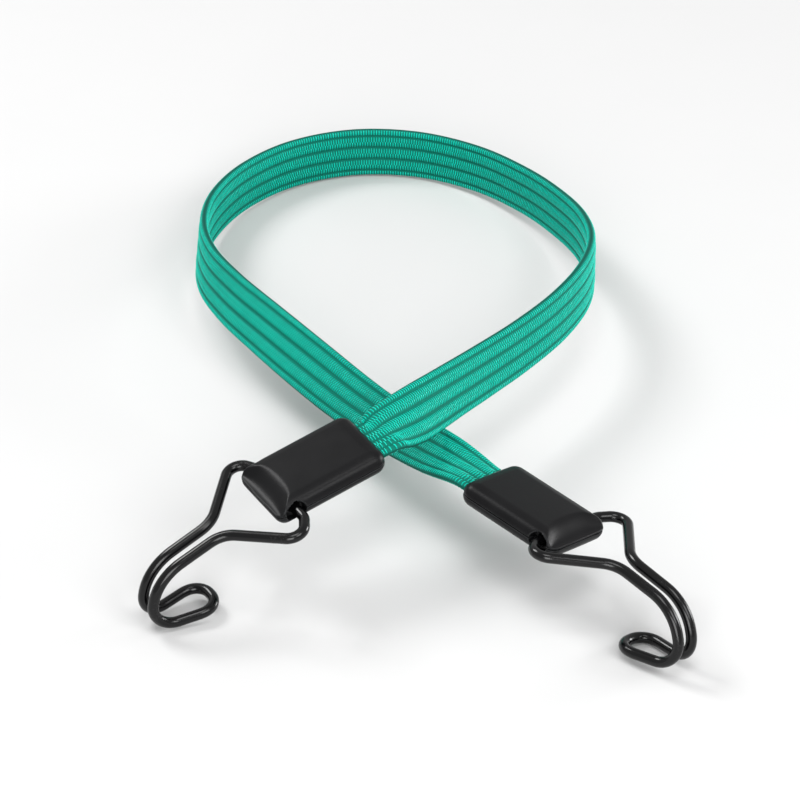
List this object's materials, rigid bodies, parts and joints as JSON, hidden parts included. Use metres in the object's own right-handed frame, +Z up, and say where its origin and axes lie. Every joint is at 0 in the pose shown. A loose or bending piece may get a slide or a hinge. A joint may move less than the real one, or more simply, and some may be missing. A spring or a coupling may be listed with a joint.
{
  "type": "bungee cord",
  "caption": "Flat elastic bungee cord with a ribbed woven strap, moulded end blocks and swinging wire hooks, lying in an open crossed loop.",
  "frame": {"origin": "middle of the box round the end blocks and hooks, on the table", "axes": "+Z up, +Y towards the far bend of the loop, +X to the right hook's side"},
  "size_m": [0.1661, 0.2921, 0.0442],
  "materials": {
    "woven_green": "ribbed weave",
    "pale_rubber": "plain",
    "black_nylon": "satin",
    "plain_steel": "plain",
    "coated_wire": "satin black coat"
  },
  "bodies": {
    "strap": {"strap_jacket": "woven_green", "rubber_core_1": "pale_rubber", "rubber_core_2": "pale_rubber", "rubber_core_3": "pale_rubber", "left_top_shell": "black_nylon", "left_bottom_shell": "black_nylon", "left_strap_clamp": "plain_steel", "right_top_shell": "black_nylon", "right_bottom_shell": "black_nylon", "right_strap_clamp": "plain_steel"},
    "left_hook": {"left_wire_hook": "coated_wire"},
    "right_hook": {"right_wire_hook": "coated_wire"}
  },
  "joints": [
    {"name": "left_hook_swing", "type": "hinge", "parent": "strap", "child": "left_hook", "pos_m": [-0.04028, 0.01046, 0.03311], "axis": [0.5256, -0.8499, -0.0376], "range_deg": [-145, 120]},
    {"name": "right_hook_swing", "type": "hinge", "parent": "strap", "child": "right_hook", "pos_m": [0.04565, 0.00254, 0.02541], "axis": [0.6896, 0.701, -0.1819], "range_deg": [-145, 120]}
  ]
}
